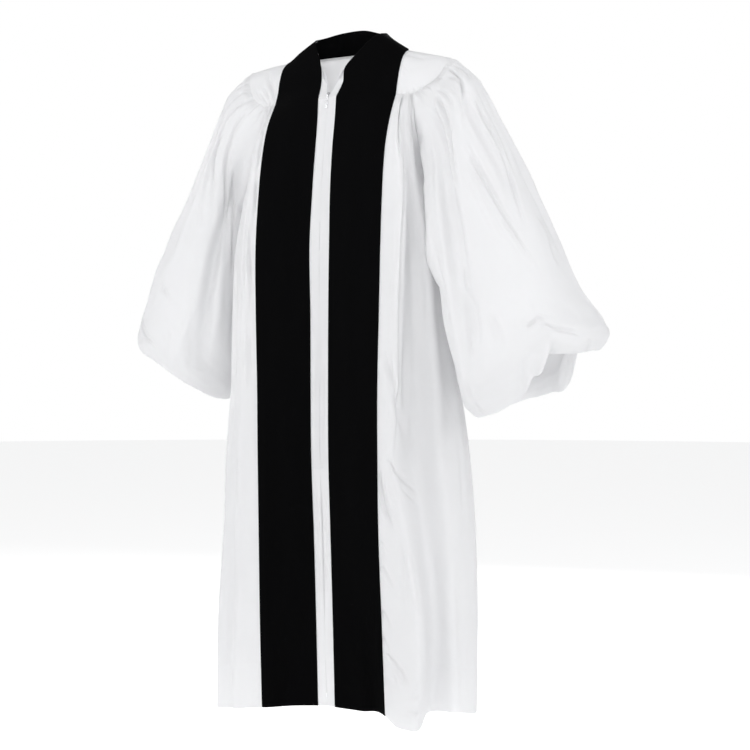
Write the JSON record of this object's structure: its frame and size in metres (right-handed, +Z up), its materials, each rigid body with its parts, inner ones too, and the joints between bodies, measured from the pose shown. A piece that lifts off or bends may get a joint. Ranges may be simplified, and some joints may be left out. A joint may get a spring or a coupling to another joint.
{
  "type": "pulpit robe",
  "caption": "Full-length white pulpit robe with bell sleeves, shoulder yokes, black velvet front panels and neck band, and a short zip opening at the neck.",
  "frame": {"origin": "middle of the shoulder line, level with the velvet's outer edge on the shoulders, where the wearer's shoulders carry the robe", "axes": "+Z up along the robe's length, the front faces -Y, the wearer's left is +X"},
  "size_m": [1.0941, 0.2993, 1.4663],
  "materials": {
    "white_cloth": "fine plain-woven white polyester with a faint sheen and soft creases",
    "black_velvet": "deep black velvet with a short upright pile",
    "zip_tape": "white woven tape with white moulded teeth",
    "zip_metal": "bright plated die-cast metal"
  },
  "bodies": {
    "robe": {"front_left": "white_cloth", "front_right": "white_cloth", "back": "white_cloth", "yoke_left": "white_cloth", "yoke_right": "white_cloth", "yoke_back": "white_cloth", "sleeve_left": "white_cloth", "sleeve_right": "white_cloth", "velvet_left": "black_velvet", "velvet_right": "black_velvet", "velvet_collar": "black_velvet", "zip_tape_left": "zip_tape", "zip_tape_right": "zip_tape", "zip_slider": "zip_metal"},
    "zip_pull": {"zip_pull": "zip_metal"}
  },
  "joints": [
    {"name": "pull_swing", "type": "hinge", "parent": "robe", "child": "zip_pull", "pos_m": [0, -0.08561, -0.09209], "axis": [-1, 0, 0], "range_deg": [0, 165]}
  ]
}
